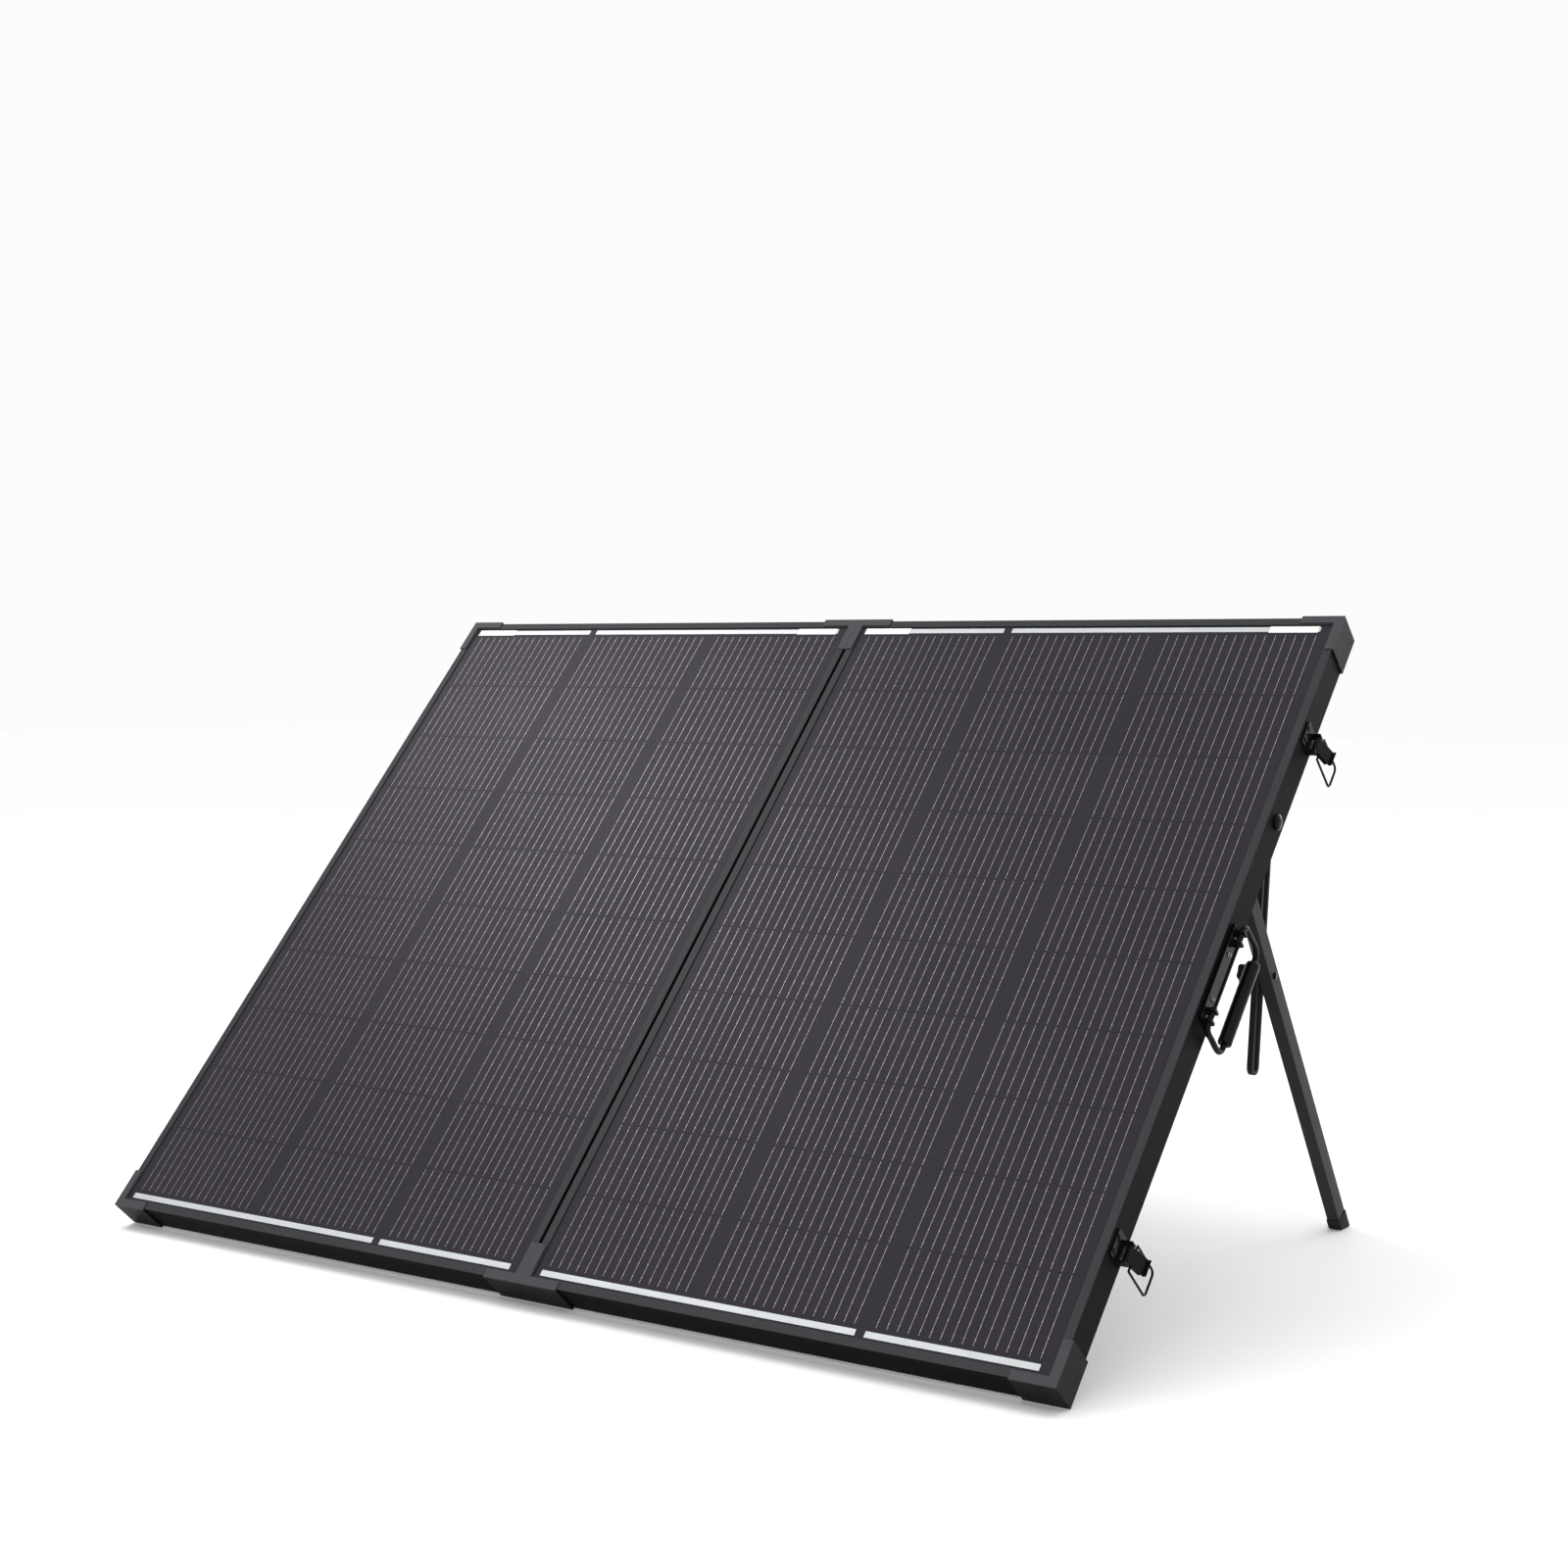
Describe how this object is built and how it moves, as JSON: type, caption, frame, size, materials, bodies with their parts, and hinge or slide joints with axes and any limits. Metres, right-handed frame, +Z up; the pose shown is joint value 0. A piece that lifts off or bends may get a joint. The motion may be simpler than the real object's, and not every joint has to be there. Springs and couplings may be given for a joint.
{
  "type": "folding solar suitcase kit",
  "caption": "Folding solar suitcase: two framed panels hinged together, with rear legs, slotted struts, draw latches, carrying handle and charge controller.",
  "frame": {"origin": "centre of the footprint, on the floor", "axes": "+X to the right seen from the glass side, +Y towards the legs, +Z up"},
  "size_m": [1.2066, 0.7846, 0.6752],
  "materials": {
    "anodised": "black anodised, fine satin",
    "guard": "fine-textured black",
    "laminate": "black backing under glass",
    "cells": "dark cells behind glass",
    "coated_steel": "black powder coat",
    "black_steel": "gloss black plating",
    "black_plastic": "moulded black",
    "grip": "smooth black sleeve",
    "rubber": "black",
    "cable": "black sheath",
    "button": "turquoise",
    "screen": "pale grey-green"
  },
  "bodies": {
    "right_panel": {"right_inner_stile": "anodised", "right_outer_stile": "anodised", "right_bottom_rail": "anodised", "right_top_rail": "anodised", "right_lower_inner_guard": "guard", "right_lower_outer_guard": "guard", "right_upper_outer_guard": "guard", "right_upper_inner_guard": "guard", "right_laminate": "laminate", "right_cells": "cells", "right_strut_bracket": "coated_steel", "right_leg_bracket": "coated_steel", "right_lower_hinge_leaf": "black_steel", "right_upper_hinge_leaf": "black_steel", "right_junction_box": "black_plastic", "lower_latch_base": "black_steel", "upper_latch_base": "black_steel", "handle_base": "black_steel", "link_cable": "cable", "pv_lead": "cable", "battery_coil": "cable"},
    "left_panel": {"left_inner_stile": "anodised", "left_outer_stile": "anodised", "left_bottom_rail": "anodised", "left_top_rail": "anodised", "left_lower_inner_guard": "guard", "left_lower_outer_guard": "guard", "left_upper_outer_guard": "guard", "left_upper_inner_guard": "guard", "left_laminate": "laminate", "left_cells": "cells", "left_strut_bracket": "coated_steel", "left_leg_bracket": "coated_steel", "left_lower_hinge_leaf": "black_steel", "left_upper_hinge_leaf": "black_steel", "left_junction_box": "black_plastic", "lower_catch": "black_steel", "upper_catch": "black_steel"},
    "right_leg": {"right_leg": "coated_steel", "right_foot": "rubber"},
    "right_strut": {"right_strut": "coated_steel"},
    "right_knob": {"right_clamp_knob": "black_plastic"},
    "left_leg": {"left_leg": "coated_steel", "left_foot": "rubber"},
    "left_strut": {"left_strut": "coated_steel"},
    "left_knob": {"left_clamp_knob": "black_plastic"},
    "lower_lever": {"lower_latch_lever": "black_steel"},
    "upper_lever": {"upper_latch_lever": "black_steel"},
    "lower_bail": {"lower_latch_bail": "black_steel"},
    "upper_bail": {"upper_latch_bail": "black_steel"},
    "handle": {"handle_bail": "black_steel", "handle_grip": "grip"},
    "controller": {"controller_tray": "coated_steel", "controller_housing": "black_plastic", "controller_cover": "black_plastic", "controller_screen": "screen", "controller_lead": "cable", "battery_lead": "cable"},
    "upper_button": {"upper_button": "button"},
    "lower_button": {"lower_button": "button"}
  },
  "joints": [
    {"name": "panel_fold", "type": "hinge", "parent": "right_panel", "child": "left_panel", "pos_m": [-0.00425, -0.05696, 0.32202], "axis": [0, -0.6845, -0.729], "range_deg": [0, 180], "deforming": ["link_cable"]},
    {"name": "right_leg_swing", "type": "hinge", "parent": "right_panel", "child": "right_leg", "pos_m": [0.52925, 0.05565, 0.47348], "axis": [1, 0, 0], "range_deg": [-77.63, 0]},
    {"name": "right_strut_swing", "type": "hinge", "parent": "right_panel", "child": "right_strut", "pos_m": [0.518, 0.20283, 0.63021], "axis": [1, 0, 0], "range_deg": [-37.5, 0]},
    {"name": "right_knob_turn", "type": "hinge", "parent": "right_leg", "child": "right_knob", "pos_m": [0.51675, 0.1704, 0.30603], "axis": [1, 0, 0], "continuous": true},
    {"name": "left_leg_swing", "type": "hinge", "parent": "left_panel", "child": "left_leg", "pos_m": [-0.53775, 0.05565, 0.47348], "axis": [1, 0, 0], "range_deg": [-77.63, 0]},
    {"name": "left_strut_swing", "type": "hinge", "parent": "left_panel", "child": "left_strut", "pos_m": [-0.5265, 0.20283, 0.63021], "axis": [1, 0, 0], "range_deg": [-37.5, 0]},
    {"name": "left_knob_turn", "type": "hinge", "parent": "left_leg", "child": "left_knob", "pos_m": [-0.52525, 0.1704, 0.30603], "axis": [1, 0, 0], "continuous": true},
    {"name": "lower_latch_lever_swing", "type": "hinge", "parent": "right_panel", "child": "lower_lever", "pos_m": [0.59025, -0.26911, 0.1145], "axis": [0, -0.6845, -0.729], "range_deg": [0, 150]},
    {"name": "lower_latch_bail_swing", "type": "hinge", "parent": "lower_lever", "child": "lower_bail", "pos_m": [0.59282, -0.26398, 0.10968], "axis": [0, -0.6845, -0.729], "range_deg": [-150.01, 0]},
    {"name": "upper_latch_lever_swing", "type": "hinge", "parent": "right_panel", "child": "upper_lever", "pos_m": [0.59025, 0.13614, 0.54605], "axis": [0, -0.6845, -0.729], "range_deg": [0, 150]},
    {"name": "upper_latch_bail_swing", "type": "hinge", "parent": "upper_lever", "child": "upper_bail", "pos_m": [0.59282, 0.14128, 0.54123], "axis": [0, -0.6845, -0.729], "range_deg": [-150.01, 0]},
    {"name": "handle_swing", "type": "hinge", "parent": "right_panel", "child": "handle", "pos_m": [0.59075, -0.07305, 0.33644], "axis": [0, -0.6845, -0.729], "range_deg": [0, 175]},
    {"name": "controller_swing", "type": "hinge", "parent": "right_panel", "child": "controller", "pos_m": [0.12375, 0.22289, 0.62441], "axis": [-1, 0, 0], "range_deg": [-90, 0], "deforming": ["controller_lead", "battery_lead"]},
    {"name": "upper_button_press", "type": "slide", "parent": "controller", "child": "upper_button", "axis": [0, -0.729, 0.6845], "range_m": [0, 0.0009], "stiffness_N_per_m": 300, "springref_m": -0.0008},
    {"name": "lower_button_press", "type": "slide", "parent": "controller", "child": "lower_button", "axis": [0, -0.729, 0.6845], "range_m": [0, 0.0009], "stiffness_N_per_m": 300, "springref_m": -0.0008}
  ],
  "couplings": [
    {"joint": "right_leg_swing", "follows": "panel_fold", "ratio": -0.43124},
    {"joint": "right_strut_swing", "follows": "panel_fold", "ratio": -0.20827},
    {"joint": "left_leg_swing", "follows": "panel_fold", "ratio": -0.43124},
    {"joint": "left_strut_swing", "follows": "panel_fold", "ratio": -0.20827},
    {"joint": "lower_latch_bail_swing", "follows": "lower_latch_lever_swing", "ratio": -1},
    {"joint": "upper_latch_bail_swing", "follows": "upper_latch_lever_swing", "ratio": -1}
  ]
}
